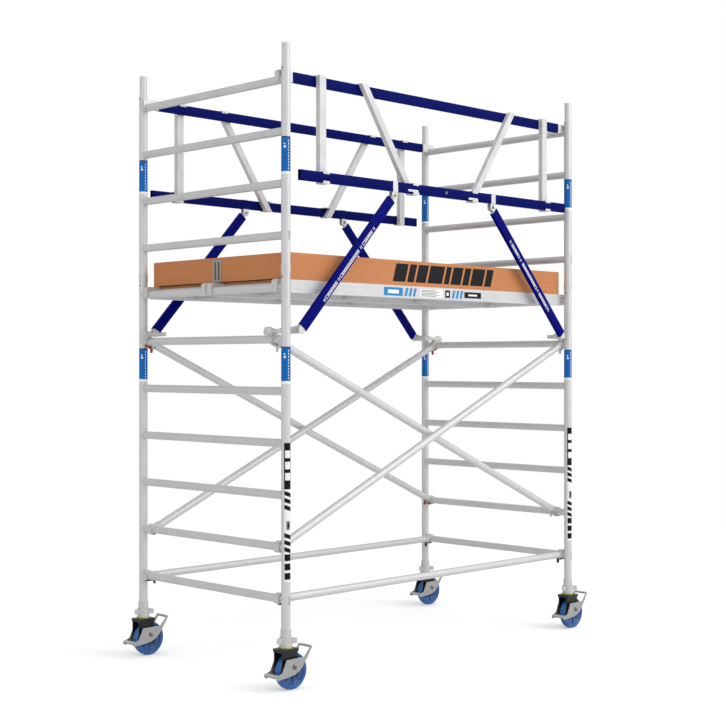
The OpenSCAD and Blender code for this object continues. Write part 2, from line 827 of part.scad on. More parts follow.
// Axle bolt with low heads, and the two studs that the brake rocks on
module axle(sx, sy) {
  head_r = 10;
  head_h = 5;
  spacer_r = 9;
  color(steel) at_stile(sx, sy) {
    translate([trail, 0, axle_z]) rotate([90, 0, 0]) {
      cylinder(r = axle_r, h = 2 * fork_outer + 2, center = true);
      for (s = SIDES) translate([0, 0, s * (fork_outer + GAP + head_h / 2)]) {
        cylinder(r = head_r, h = head_h, $fn = 6, center = true);
      }
    }
    for (s = SIDES) translate([stud_x, s * fork_inner, stud_z]) rotate([-90 * s, 0, 0]) {
      cylinder(r = stud_r, h = plate_y + plate_t + 2 - fork_inner);
      translate([0, 0, fork_side + GAP]) cylinder(r = spacer_r, h = plate_y - fork_outer - 2 * GAP);
      translate([0, 0, plate_y + plate_t + GAP - fork_inner]) cylinder(r = head_r, h = head_h);
    }
  }
}

// ---- nodes --------------------------------------------------------------------------------------

stiles(seat_z, joint_z);  // lower_frame_stiles
rungs(0, lower_rungs);  // lower_frame_rungs
stiles(joint_z, top_z);  // upper_frame_stiles
rungs(lower_rungs, upper_rungs);  // upper_frame_rungs
frame_spigots();
frame_collars();
frame_rivets();
horizontal_braces();
diagonal_braces();
brace_claws();
trigger_pins();
base_trigger(LEFT, FRONT);  // trigger_front_base_left
base_trigger(RIGHT, FRONT);  // trigger_front_base_right
base_trigger(LEFT, BACK);  // trigger_back_base_left
base_trigger(RIGHT, BACK);  // trigger_back_base_right
diagonal_trigger(LEFT, rising_y(FRONT), false);  // trigger_front_rising_low
diagonal_trigger(RIGHT, rising_y(FRONT), true);  // trigger_front_rising_high
diagonal_trigger(LEFT, rising_y(BACK), false);  // trigger_back_rising_low
diagonal_trigger(RIGHT, rising_y(BACK), true);  // trigger_back_rising_high
diagonal_trigger(LEFT, falling_y(FRONT), true);  // trigger_front_falling_high
diagonal_trigger(RIGHT, falling_y(FRONT), false);  // trigger_front_falling_low
diagonal_trigger(LEFT, falling_y(BACK), true);  // trigger_back_falling_high
diagonal_trigger(RIGHT, falling_y(BACK), false);  // trigger_back_falling_low
guardrails();
guardrail_posts();
guardrail_hooks();
strut_brackets();
strut_bolts();
strut(LEFT, FRONT);  // strut_front_left
strut(RIGHT, FRONT);  // strut_front_right
strut(LEFT, BACK);  // strut_back_left
strut(RIGHT, BACK);  // strut_back_right
deck_beams();
deck_panels();
deck_hooks();
trapdoor();
trapdoor_hinges();
toe_boards();
toe_board_brackets();
leg_nuts();
leg(LEFT, FRONT);  // leg_front_left
leg(RIGHT, FRONT);  // leg_front_right
leg(LEFT, BACK);  // leg_back_left
leg(RIGHT, BACK);  // leg_back_right
fork(LEFT, FRONT);  // fork_front_left
fork(RIGHT, FRONT);  // fork_front_right
fork(LEFT, BACK);  // fork_back_left
fork(RIGHT, BACK);  // fork_back_right
wheel(LEFT, FRONT);  // wheel_front_left
wheel(RIGHT, FRONT);  // wheel_front_right
wheel(LEFT, BACK);  // wheel_back_left
wheel(RIGHT, BACK);  // wheel_back_right
brake(LEFT, FRONT);  // brake_front_left
brake(RIGHT, FRONT);  // brake_front_right
brake(LEFT, BACK);  // brake_back_left
brake(RIGHT, BACK);  // brake_back_right
axle(LEFT, FRONT);  // axle_front_left
axle(RIGHT, FRONT);  // axle_front_right
axle(LEFT, BACK);  // axle_back_left
axle(RIGHT, BACK);  // axle_back_right
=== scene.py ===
"""Looks of a rolling frame scaffold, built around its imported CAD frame. Metres, row frame, +Z up."""

import math

import bmesh
import bpy
from mathutils import Matrix, Vector


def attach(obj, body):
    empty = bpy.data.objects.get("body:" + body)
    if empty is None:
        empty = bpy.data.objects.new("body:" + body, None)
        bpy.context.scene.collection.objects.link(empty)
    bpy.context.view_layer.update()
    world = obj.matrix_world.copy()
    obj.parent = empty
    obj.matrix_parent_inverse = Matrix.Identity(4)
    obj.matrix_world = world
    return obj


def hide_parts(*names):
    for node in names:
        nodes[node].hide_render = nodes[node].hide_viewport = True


# ---- sizes ---------------------------------------------------------------------------------------

POST_X, POST_Y = 1.255, 0.640
STILE_R = 0.025
RUNG_R = 0.0225
RUNG_PITCH = 0.280
FIRST_RUNG_Z = 0.485
LOWER_RUNGS, UPPER_RUNGS = 7, 4
STILE_GAP = 0.00005  # a rung's end face stays this far off the stile
BRACE_SLOPE = math.atan2(4 * RUNG_PITCH, 2 * POST_X)

RAIL_HALF, RAIL_THICK, RAIL_HIGH, RAIL_WALL = 1.178, 0.025, 0.058, 0.0025
TOP_RAIL = (0.607, 3.3065)  # |y|, z
MID_RAIL = (0.6635, 2.7745)
STRUT_PIVOT = (0.440, 0.660, 2.7215)
STRUT_END = (1.154, 1.947)
STRUT_START = 0.030

DECK_TOP = 2.211
DECK_HALF, DECK_OUTER_Y = 1.184, 0.602
HINGE_Y = -0.5281  # the trapdoor's hinge leaves lie beyond this

TRAIL, AXLE_Z, HUB_HALF = 0.036, 0.100, 0.0277
CROWN_LOW, CROWN_HIGH = 0.207, 0.018  # underside and height of the fork's crown
CROWN_HALF_Y, CROWN_FLARE = 0.0385, 0.0055
SMOOTH_ANGLE = 32  # degrees; sharper edges stay sharp in shading

CORNERS = {"front_left": (-1, -1), "front_right": (1, -1), "back_left": (-1, 1), "back_right": (1, 1)}


def rung_z(i):
    return FIRST_RUNG_Z + i * RUNG_PITCH


# ---- camera --------------------------------------------------------------------------------------

cam_data = bpy.data.cameras.new("camera")
cam_data.lens = 69.96
cam_data.sensor_width = 36
cam_data.clip_end = 200
camera = bpy.data.objects.new("camera", cam_data)
camera.location = (-6.327, -6.287, 1.757)
camera.rotation_euler = (math.radians(90), 0, math.radians(-45.06))
bpy.context.scene.collection.objects.link(camera)
bpy.context.scene.camera = camera

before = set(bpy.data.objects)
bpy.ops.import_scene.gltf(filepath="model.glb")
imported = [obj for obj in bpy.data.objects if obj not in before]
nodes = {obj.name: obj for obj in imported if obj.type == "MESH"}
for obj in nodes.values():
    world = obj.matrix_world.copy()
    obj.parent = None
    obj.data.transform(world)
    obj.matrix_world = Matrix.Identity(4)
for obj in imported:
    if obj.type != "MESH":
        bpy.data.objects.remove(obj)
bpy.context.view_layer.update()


# ---- materials -----------------------------------------------------------------------------------


def srgb(r, g, b):
    """An 0-255 sRGB colour as linear RGBA."""
    parts = (r / 255, g / 255, b / 255)
    lin = [c / 12.92 if c <= 0.04045 else ((c + 0.055) / 1.055) ** 2.4 for c in parts]
    return (*lin, 1.0)


class Look:
    """A Principled material built from nodes. Its methods return sockets that can be chained."""

    def __init__(self, name, rough=0.5, **sockets):
        self.mat = bpy.data.materials.new(name)
        self.mat.use_nodes = True
        self.tree = self.mat.node_tree
        self.shader = self.tree.nodes["Principled BSDF"]
        self.shader.inputs["Roughness"].default_value = rough
        for key, value in sockets.items():
            self.shader.inputs[key.replace("_", " ")].default_value = value
        self.where = self.node("ShaderNodeTexCoord").outputs["Object"]

    def node(self, kind, links=None, **props):
        n = self.tree.nodes.new(kind)
        for key, value in props.items():
            setattr(n, key, value)
        for key, value in (links or {}).items():
            if isinstance(value, bpy.types.NodeSocket):
                self.tree.links.new(value, n.inputs[key])
            else:
                n.inputs[key].default_value = value
        return n

    def place(self, size, turn=(0, 0, 0)):
        """Object coordinates counted in features of that size along each axis."""
        links = {"Vector": self.where, "Rotation": turn, "Scale": size}
        return self.node("ShaderNodeMapping", links, vector_type="TEXTURE").outputs[0]

    def noise(self, size, turn=(0, 0, 0), detail=3.0, rough=0.55, warp=0.0):
        if isinstance(size, (int, float)):
            size = (size,) * 3
        links = {"Vector": self.place(size, turn), "Scale": 1.0, "Detail": detail}
        links.update({"Roughness": rough, "Distortion": warp})
        return self.node("ShaderNodeTexNoise", links).outputs["Fac"]

    def cell_edges(self, size):
        """Distance to the nearest edge of a mesh of cells."""
        links = {"Vector": self.place((size,) * 3), "Scale": 1.0}
        n = self.node("ShaderNodeTexVoronoi", links, feature="DISTANCE_TO_EDGE")
        return n.outputs["Distance"]

    def bands(self, pitch, axis):
        links = {"Vector": self.place((pitch,) * 3), "Scale": 1.0 / math.pi}
        props = {"wave_type": "BANDS", "bands_direction": axis, "wave_profile": "SIN"}
        return self.node("ShaderNodeTexWave", links, **props).outputs["Fac"]

    def math(self, op, a, b):
        return self.node("ShaderNodeMath", {0: a, 1: b}, operation=op).outputs[0]

    def ramp(self, fac, *stops):
        """Colours over fac. stops are (position, colour)."""
        n = self.node("ShaderNodeValToRGB", {"Fac": fac})
        ramp = n.color_ramp
        while len(ramp.elements) < len(stops):
            ramp.elements.new(0.5)
        for element, (at, colour) in zip(ramp.elements, stops):
            element.position = at
            element.color = colour
        return n.outputs["Color"]

    def mix(self, fac, a, b):
        n = self.node("ShaderNodeMix", data_type="RGBA", blend_type="MIX")
        for index, value in ((0, fac), (6, a), (7, b)):  # the node's colour sockets are 6 and 7
            if isinstance(value, bpy.types.NodeSocket):
                self.tree.links.new(value, n.inputs[index])
            else:
                n.inputs[index].default_value = value
        return n.outputs[2]

    def colour(self, socket):
        self.tree.links.new(socket, self.shader.inputs["Base Color"])
        return self

    def roughness(self, fac, low, high):
        links = {"Value": fac, "To Min": low, "To Max": high}
        out = self.node("ShaderNodeMapRange", links).outputs[0]
        self.tree.links.new(out, self.shader.inputs["Roughness"])
        return self

    def bump(self, height, distance, under=None):
        links = {"Height": height, "Distance": distance, "Strength": 1.0}
        if under:
            links["Normal"] = under
        out = self.node("ShaderNodeBump", links).outputs["Normal"]
        self.tree.links.new(out, self.shader.inputs["Normal"])
        return out


def shade(colour, k):
    """The colour k times as bright."""
    return (*[min(1.0, c * k) for c in colour[:3]], 1.0)


def aluminium(name, along, turn=(0, 0, 0), ribs=None):
    """Mill-finish tube: drawing lines along its length, faint clouding, and cross ribs on a rung."""
    base = srgb(214, 214, 215)
    look = Look(name, 0.50, Metallic=0.35, Specular_IOR_Level=0.45)
    size = [0.0016] * 3
    size["XYZ".index(along)] = 0.35
    lines = look.noise(tuple(size), turn, detail=2.0)
    cloud = look.noise(0.11, detail=3.0)
    dull, bright = shade(base, 0.93), shade(base, 1.04)
    streaks = look.ramp(lines, (0.32, dull), (0.68, bright))
    tone = look.mix(0.45, streaks, look.ramp(cloud, (0.3, dull), (0.7, bright)))
    flecks = look.noise((0.004, 0.004, 0.012), detail=5.0, rough=0.7)
    scuffs = look.math("GREATER_THAN", flecks, 0.70)
    look.colour(look.mix(look.math("MULTIPLY", scuffs, 0.35), tone, shade(base, 0.72)))
    look.roughness(lines, 0.44, 0.56)
    under = look.bump(lines, 0.00006)
    if ribs:
        look.bump(look.bands(ribs, along), 0.0006, under=under)
    return look.mat


def casting(name, base, rough=(0.42, 0.62), metallic=0.5, grain=0.0022):
    """Sand-cast or die-cast metal: fine pebbled skin with slightly darker pits."""
    look = Look(name, 0.5, Metallic=metallic)
    skin = look.noise(grain, detail=5.0, rough=0.6)
    patch = look.noise(0.035, detail=3.0)
    tone = look.ramp(patch, (0.3, shade(base, 0.90)), (0.7, shade(base, 1.05)))
    pits = look.ramp(skin, (0.28, shade(base, 0.70)), (0.42, shade(base, 1.0)))
    look.colour(look.mix(0.30, tone, pits))
    look.roughness(skin, *rough)
    look.bump(skin, 0.00035)
    return look.mat


def coated(name, base, rough=(0.36, 0.48), peel=0.0025, spec=0.35, coat=0.0):
    """Powder coat or moulded plastic: orange peel, slight tone change and a few light scuffs."""
    look = Look(name, 0.4, Specular_IOR_Level=spec, Coat_Weight=coat, Coat_Roughness=0.15)
    peel_noise = look.noise(peel, detail=2.0)
    cloud = look.noise(0.16, detail=3.0)
    tone = look.ramp(cloud, (0.3, shade(base, 0.90)), (0.7, shade(base, 1.10)))
    scratches = look.noise((0.05, 0.003, 0.02), detail=6.0, rough=0.75)
    scuff = look.math("GREATER_THAN", scratches, 0.735)
    light = tuple(0.82 * c + 0.18 * 0.6 for c in base[:3]) + (1.0,)  # base, washed with a mid grey
    look.colour(look.mix(look.math("MULTIPLY", scuff, 0.5), tone, light))
    look.roughness(peel_noise, *rough)
    look.bump(peel_noise, 0.00012)
    return look.mat


def timber(name, base, along):
    """Film-faced board: fine grain lines along its length over a warm ground."""
    look = Look(name, 0.5, Specular_IOR_Level=0.3)
    long, wide, thin = 0.42, 0.0045, 0.0011
    size = {"X": (long, wide, wide), "Y": (wide, long, wide)}[along]
    fine = {"X": (long / 2, thin, thin), "Y": (thin, long / 2, thin)}[along]
    grain = look.noise(size, detail=5.0, rough=0.62, warp=0.35)
    pores = look.noise(fine, detail=3.0)
    tone = look.ramp(grain, (0.30, shade(base, 0.80)), (0.52, base), (0.72, shade(base, 1.16)))
    dark = look.ramp(pores, (0.30, shade(base, 0.62)), (0.46, base))
    patches = look.noise(0.30, detail=2.0)
    cloud = look.ramp(patches, (0.3, shade(base, 0.90)), (0.7, shade(base, 1.08)))
    look.colour(look.mix(0.35, look.mix(0.28, tone, dark), cloud))
    look.roughness(grain, 0.42, 0.60)
    look.bump(pores, 0.00018)
    return look.mat


def anti_slip(name, base):
    """Deck face: film with a pressed mesh of small cells."""
    look = Look(name, 0.55, Specular_IOR_Level=0.35)
    mesh = look.cell_edges(0.0075)
    edge = look.ramp(mesh, (0.04, (1, 1, 1, 1)), (0.12, (0, 0, 0, 1)))
    cloud = look.noise(0.22, detail=4.0)
    tone = look.ramp(cloud, (0.3, shade(base, 0.82)), (0.7, shade(base, 1.15)))
    look.colour(look.mix(look.math("MULTIPLY", edge, 0.35), tone, shade(base, 1.7)))
    look.roughness(cloud, 0.45, 0.62)
    look.bump(edge, 0.0004)
    return look.mat


def vinyl(name, base, rough=0.34):
    """Printed film: nearly flat, with faint ink mottling."""
    look = Look(name, rough, Specular_IOR_Level=0.2)
    mottle = look.noise(0.006, detail=3.0)
    look.colour(look.ramp(mottle, (0.3, shade(base, 0.92)), (0.7, shade(base, 1.06))))
    look.roughness(look.noise(0.02), rough - 0.06, rough + 0.10)
    look.bump(look.noise(0.009), 0.00006)
    return look.mat


M = {
    "metal_x": aluminium("metal_x", "X"),
    "metal_z": aluminium("metal_z", "Z"),
    "metal_rise": aluminium("metal_rise", "X", (0, -BRACE_SLOPE, 0)),
    "metal_fall": aluminium("metal_fall", "X", (0, BRACE_SLOPE, 0)),
    "rung": aluminium("rung_metal", "Y", ribs=0.0050),
    "cast": casting("cast_metal", srgb(214, 213, 211)),
    "nut": casting("nut_metal", srgb(208, 207, 206), metallic=0.4, grain=0.003),
    "weld": casting("weld_bead", srgb(205, 205, 206), grain=0.0012),
    "steel": casting("fastener_steel", srgb(120, 120, 122), (0.3, 0.45), 0.9, 0.0012),
    "bracket": casting("bracket_steel", srgb(150, 150, 150), (0.38, 0.52), 0.8, 0.0012),
    "brake": casting("brake_steel", srgb(176, 175, 173), (0.34, 0.48), 0.6, 0.0015),
    "zinc": casting("zinc_chromate", srgb(176, 180, 92), (0.25, 0.4), 0.8, 0.003),
    "rail": coated("guard_blue", srgb(0, 12, 94), (0.42, 0.55), spec=0.04),
    "strut": coated("strut_blue", srgb(0, 8, 112), (0.42, 0.55), spec=0.04),
    "post": coated("guard_white", srgb(214, 214, 215), spec=0.4),
    "under": coated("deck_under", srgb(232, 232, 232), spec=0.3),
    # dark brown for the painted shadow line at the foot of the end toe boards
    "gap_shadow": coated("painted_gap_shadow", srgb(70, 34, 14), (0.5, 0.6), spec=0.2),
    "red": coated("trigger_red", srgb(158, 16, 26)),
    "navy": coated("trigger_blue", srgb(22, 24, 66)),
    "wheel": coated("wheel_blue", srgb(4, 78, 146), (0.14, 0.22), 0.004, 0.5, 0.5),
    "tread": coated("wheel_tread", srgb(6, 90, 160), (0.20, 0.30), 0.002, 0.5, 0.5),
    "black": coated("fork_black", srgb(15, 14, 15), (0.26, 0.38), 0.002, 0.35, 0.15),
    "rubber": coated("pad_rubber", srgb(200, 199, 197), (0.5, 0.62), 0.0015, 0.3),
    "plate": casting("toe_plate", srgb(168, 164, 160), (0.38, 0.52), 0.5, 0.0012),
    "toe_x": timber("toe_board_long", srgb(200, 130, 80), "X"),
    "toe_y": timber("toe_board_end", srgb(200, 130, 80), "Y"),
    "deck_edge": timber("deck_edge", srgb(176, 138, 96), "X"),
    "deck": anti_slip("deck_face", srgb(96, 62, 40)),
    "sticker_blue": vinyl("sticker_blue", srgb(4, 104, 184)),
    "sticker_deep": vinyl("sticker_deep", srgb(6, 78, 156)),
    "sticker_cyan": vinyl("sticker_cyan", srgb(44, 138, 204)),
    "sticker_white": vinyl("sticker_white", srgb(244, 244, 244)),
    "sticker_black": vinyl("sticker_black", srgb(6, 6, 14)),
    "sticker_grey": vinyl("sticker_grey", srgb(120, 124, 130)),
}


# ---- mesh helpers --------------------------------------------------------------------------------


def piece(name, bm, body, mats, replaces=(), sharp=SMOOTH_ANGLE):
    """Turns a bmesh into a shown piece with its materials, riding on a CAD body."""
    mesh = bpy.data.meshes.new(name)
    bmesh.ops.recalc_face_normals(bm, faces=bm.faces)
    bm.to_mesh(mesh)
    bm.free()
    for key in mats:
        mesh.materials.append(M[key])
    mesh.shade_smooth()
    mesh.set_sharp_from_angle(angle=math.radians(sharp))
    obj = bpy.data.objects.new(name, mesh)
    bpy.context.scene.collection.objects.link(obj)
    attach(obj, body)
    if replaces:
        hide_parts(*replaces)
    return obj


def shape(obj, **modifier):
    """Applies one modifier to a piece's mesh."""
    kind = modifier.pop("kind")
    m = obj.modifiers.new(kind.lower(), kind)
    for key, value in modifier.items():
        setattr(m, key, value)
    evaluated = obj.evaluated_get(bpy.context.evaluated_depsgraph_get())
    mesh = bpy.data.meshes.new_from_object(evaluated)
    obj.modifiers.clear()
    old, obj.data = obj.data, mesh
    mesh.name = obj.name
    bpy.data.meshes.remove(old)


def rounded(obj, width, segments=2):
    """Rounds a piece's sharp edges and keeps its flat faces flat in shading."""
    angle = math.radians(SMOOTH_ANGLE)
    shape(obj, kind="BEVEL", width=width, segments=segments, limit_method="ANGLE",
          angle_limit=angle, use_clamp_overlap=True, harden_normals=False, miter_outer="MITER_ARC")
    obj.data.shade_smooth()
    obj.data.set_sharp_from_angle(angle=angle)
    shape(obj, kind="WEIGHTED_NORMAL", keep_sharp=True, weight=60)
    return obj


def from_node(node, name, body, mats, width, segments=2,
              keep=None, material=None, replaces=True, warp=None):
    """A piece made from a copy of a CAD node's solids, cleaned up and with rounded edges.

    keep(low, high) picks solids by their box, material(centre, normal) picks a face's material,
    and warp(point) moves the copy's points."""
    bm = bmesh.new()
    bm.from_mesh(nodes[node].data)
    bmesh.ops.remove_doubles(bm, verts=bm.verts, dist=2e-6)
    if keep:
        for island in islands(bm):
            low = Vector([min(v.co[i] for v in island) for i in range(3)])
            high = Vector([max(v.co[i] for v in island) for i in range(3)])
            if not keep(low, high):
                bmesh.ops.delete(bm, geom=island, context="VERTS")
    bmesh.ops.dissolve_limit(bm, angle_limit=math.radians(1.2), verts=bm.verts, edges=bm.edges)
    for face in bm.faces:
        face.material_index = material(face.calc_center_median(), face.normal) if material else 0
    for v in bm.verts if warp else ():
        v.co = warp(v.co)
    obj = piece(name, bm, body, mats, (node,) if replaces else ())
    return rounded(obj, width, segments) if width else obj


def islands(bm):
    """The mesh's separate solids, each as a list of vertices."""
    left, found = set(bm.verts), []
    while left:
        stack, island = [left.pop()], []
        while stack:
            v = stack.pop()
            island.append(v)
            for e in v.link_edges:
                other = e.other_vert(v)
                if other in left:
                    left.remove(other)
                    stack.append(other)
        found.append(island)
    return found


def loft(bm, rings, loop=False):
    """Skins rings of points, all of one length. Caps the two ends, or joins them in a loop."""
    rows = [[bm.verts.new(p) for p in ring] for ring in rings]
    pairs = list(zip(rows, rows[1:])) + ([(rows[-1], rows[0])] if loop else [])
    for a, b in pairs:
        for i in range(len(a)):
            j = (i + 1) % len(a)
            bm.faces.new((a[i], a[j], b[j], b[i]))
    if not loop:
        bm.faces.new(rows[0])
        bm.faces.new(rows[-1])


def rect_ring(w, h, r, steps=4):
    """Points round a rectangle w by h with rounded corners."""
    points = []
    for k, (sx, sy) in enumerate(((1, 1), (-1, 1), (-1, -1), (1, -1))):
        for i in range(steps + 1):
            a = math.pi / 2 * (k + i / steps)
            x, y = sx * (w / 2 - r), sy * (h / 2 - r)
            points.append((x + r * math.cos(a), y + r * math.sin(a)))
    return points


def rail_tube(bm, place, length):
    """A rail's rectangular tube along local X, both ends open, rims slightly eased."""
    corner, inner_corner, ease = 0.004, 0.0015, 0.0005
    start, end = -length / 2, length / 2

    def ring(x, inset, r):
        outline = rect_ring(RAIL_THICK - 2 * inset, RAIL_HIGH - 2 * inset, r)
        return [place @ Vector((x, u, v)) for u, v in outline]

    loft(bm, [ring(start, ease, corner - ease), ring(start + ease, 0, corner),
              ring(end - ease, 0, corner), ring(end, ease, corner - ease),
              ring(end, RAIL_WALL, inner_corner), ring(start, RAIL_WALL, inner_corner)], loop=True)


def lathe(bm, place, profile, steps, material):
    """Turns a closed (radius, axial) profile about local Z."""
    rings = []
    for k in range(steps):
        a = 2 * math.pi * k / steps
        points = [Vector((r * math.cos(a), r * math.sin(a), z)) for r, z in profile]
        rings.append([bm.verts.new(place @ p) for p in points])
    for k in range(steps):
        a, b = rings[k], rings[(k + 1) % steps]
        for i in range(len(profile)):
            j = (i + 1) % len(profile)
            bm.faces.new((a[i], b[i], b[j], a[j])).material_index = material(i)


def block(bm, centre, size, turn=None):
    """A box, to be rounded later with the rest of its piece."""
    turn = turn.to_4x4() if turn else Matrix()
    place = Matrix.Translation(centre) @ turn @ Matrix.Diagonal((*size, 1))
    bmesh.ops.create_cube(bm, size=1, matrix=place)


def film(bm, rects, surface, lift=0.00025, step=None):
    """A thin printed film.

    rects are (u0, u1, v0, v1, material), later ones over earlier ones, the first its outline.
    surface(u, v, lift) gives a point. step is the largest cell along u on a curved surface."""
    thick = 0.0002
    cuts = [sorted({r[i] for r in rects} | {r[i + 1] for r in rects}) for i in (0, 2)]
    if step:
        us = []
        for a, b in zip(cuts[0], cuts[0][1:]):
            n = max(1, math.ceil((b - a) / step))
            us += [a + (b - a) * k / n for k in range(n)]
        cuts[0] = us + [cuts[0][-1]]
    layers = []
    for depth in (lift + thick, lift):
        layers.append([[bm.verts.new(surface(u, v, depth)) for v in cuts[1]] for u in cuts[0]])
    top, bottom = layers
    last_u, last_v = len(cuts[0]) - 1, len(cuts[1]) - 1
    for i in range(last_u):
        for j in range(last_v):
            u = (cuts[0][i] + cuts[0][i + 1]) / 2
            v = (cuts[1][j] + cuts[1][j + 1]) / 2
            paint = [r[4] for r in rects if r[0] < u < r[1] and r[2] < v < r[3]][-1]
            for grid in layers:
                cell = (grid[i][j], grid[i + 1][j], grid[i + 1][j + 1], grid[i][j + 1])
                bm.faces.new(cell).material_index = paint
    rim = [(i, 0) for i in range(last_u)] + [(last_u, j) for j in range(last_v)]
    rim += [(i, last_v) for i in range(last_u, 0, -1)] + [(0, j) for j in range(last_v, 0, -1)]
    for (i, j), (k, m) in zip(rim, rim[1:] + rim[:1]):
        edge = bm.faces.new((top[i][j], top[k][m], bottom[k][m], bottom[i][j]))
        edge.material_index = rects[0][4]


# ---- frames --------------------------------------------------------------------------------------


def rung_ring(x, z, end):
    """Points round one end of a rung, fluted and with a groove along each side, cut to the stile."""
    count, flutes, depth = 96, 16, 0.0005
    groove, groove_half, groove_down = 0.0012, 0.0020, 0.006
    points = []
    for k in range(count):
        a = 2 * math.pi * k / count
        r = RUNG_R - depth * (0.5 - 0.5 * math.cos(flutes * a)) ** 2
        u, w = r * math.cos(a), r * math.sin(a)
        if abs(w + groove_down) < groove_half:
            u -= math.copysign(groove, u)
        y = POST_Y - math.sqrt(STILE_R**2 - u * u) - STILE_GAP
        points.append(Vector((x + u, end * y, z + w)))
    return points


def rungs(name, first, count, node):
    bm = bmesh.new()
    for side in (-1, 1):
        for i in range(first, first + count):
            loft(bm, [rung_ring(side * POST_X, rung_z(i), end) for end in (-1, 1)])
    piece(name, bm, "tower", ["rung"], (node,), sharp=20)


def welds():
    """A rippled bead round each end of each rung, where it meets the stile."""
    bm = bmesh.new()
    around, section, bead, sunk = 72, 8, 0.0030, 0.0004
    ripples, ripple = 18, 0.16
    turn = [2 * math.pi * q / section for q in range(section)]
    for side in (-1, 1):
        for i in range(LOWER_RUNGS + UPPER_RUNGS):
            for end in (-1, 1):
                rings = []
                for k in range(around):
                    a = 2 * math.pi * k / around
                    u, w = (RUNG_R - sunk) * math.cos(a), (RUNG_R - sunk) * math.sin(a)
                    y = POST_Y - math.sqrt(STILE_R**2 - u * u)
                    centre = Vector((side * POST_X + u, end * y, rung_z(i) + w))
                    out = Vector((math.cos(a), 0, math.sin(a)))
                    along = Vector((0, -end, 0))
                    r = bead * (1 + ripple * math.sin(ripples * a + i))
                    rings.append([centre + r * (out * math.cos(t) + along * math.sin(t))
                                  for t in turn])
                loft(bm, rings, loop=True)
    piece("frame_welds", bm, "tower", ["weld"], sharp=60)


rungs("lower_rungs", 0, LOWER_RUNGS, "lower_frame_rungs")
rungs("upper_rungs", LOWER_RUNGS, UPPER_RUNGS, "upper_frame_rungs")
welds()
for node in ("lower_frame_stiles", "upper_frame_stiles"):
    from_node(node, node + "_tubes", "tower", ["metal_z"], 0.0006, 2)
from_node("frame_spigots", "spigot_tubes", "tower", ["metal_z"], 0.0010, 2)
from_node("frame_collars", "joint_collars", "tower", ["cast"], 0.0015, 3)
from_node("frame_rivets", "rivets", "tower", ["steel"], 0.0007, 2)

# ---- braces --------------------------------------------------------------------------------------

from_node("horizontal_braces", "base_braces", "tower", ["metal_x"], 0.0006, 2)


def slant(centre, normal):
    """0 on a brace that rises to the right, 1 on one that falls."""
    rising = (FIRST_RUNG_Z + RUNG_PITCH * 3) + math.tan(BRACE_SLOPE) * centre.x
    near = 0.03
    return 0 if abs(centre.z - rising) < near else 1


from_node("diagonal_braces", "cross_braces", "tower", ["metal_rise", "metal_fall"],
          0.0006, 2, material=slant)
from_node("brace_claws", "claws", "tower", ["cast"], 0.0012, 2)
from_node("trigger_pins", "claw_pins", "tower", ["steel"], 0.0004, 2)

# one sprung trigger to a claw: blue on the base braces, plain metal or red on the diagonals
for node in [n for n in nodes if n.startswith("trigger_") and n != "trigger_pins"]:
    base = "_base_" in node
    tint, slot = ("navy", "trigger_blue") if base else ("red", "trigger_red")
    if node.startswith("trigger_front") and not base:
        tint, slot = "cast", "cast_metal"
    from_node(node, "latch" + node.removeprefix("trigger"), node, [tint], 0.0009, 2)

# ---- guardrails ----------------------------------------------------------------------------------

bm = bmesh.new()
for side in (-1, 1):
    for y, z in (TOP_RAIL, MID_RAIL):
        rail_tube(bm, Matrix.Translation((0, side * y, z)), 2 * RAIL_HALF)
piece("rail_tubes", bm, "tower", ["rail"], ("guardrails",))
from_node("guardrail_posts", "rail_posts", "tower", ["post"], 0.0016, 3)
from_node("guardrail_hooks", "rail_hooks", "tower", ["cast"], 0.0016, 3)
from_node("strut_brackets", "rail_brackets", "tower", ["cast"], 0.0008, 2)
from_node("strut_bolts", "rail_bolts", "tower", ["steel"], 0.0006, 2)


def strut_place(sx, sy):
    """Local X runs down the strut from its bolt, local Y outwards, local Z across its height."""
    px, py, pz = STRUT_PIVOT
    down = Vector((sx * (STRUT_END[0] - px), 0, STRUT_END[1] - pz))
    length = down.length
    x = down.normalized()
    y = Vector((0, sy, 0))
    z = x.cross(y)
    m = Matrix((x, y, z)).transposed().to_4x4()
    m.translation = (sx * px, sy * py, pz)
    return m, length


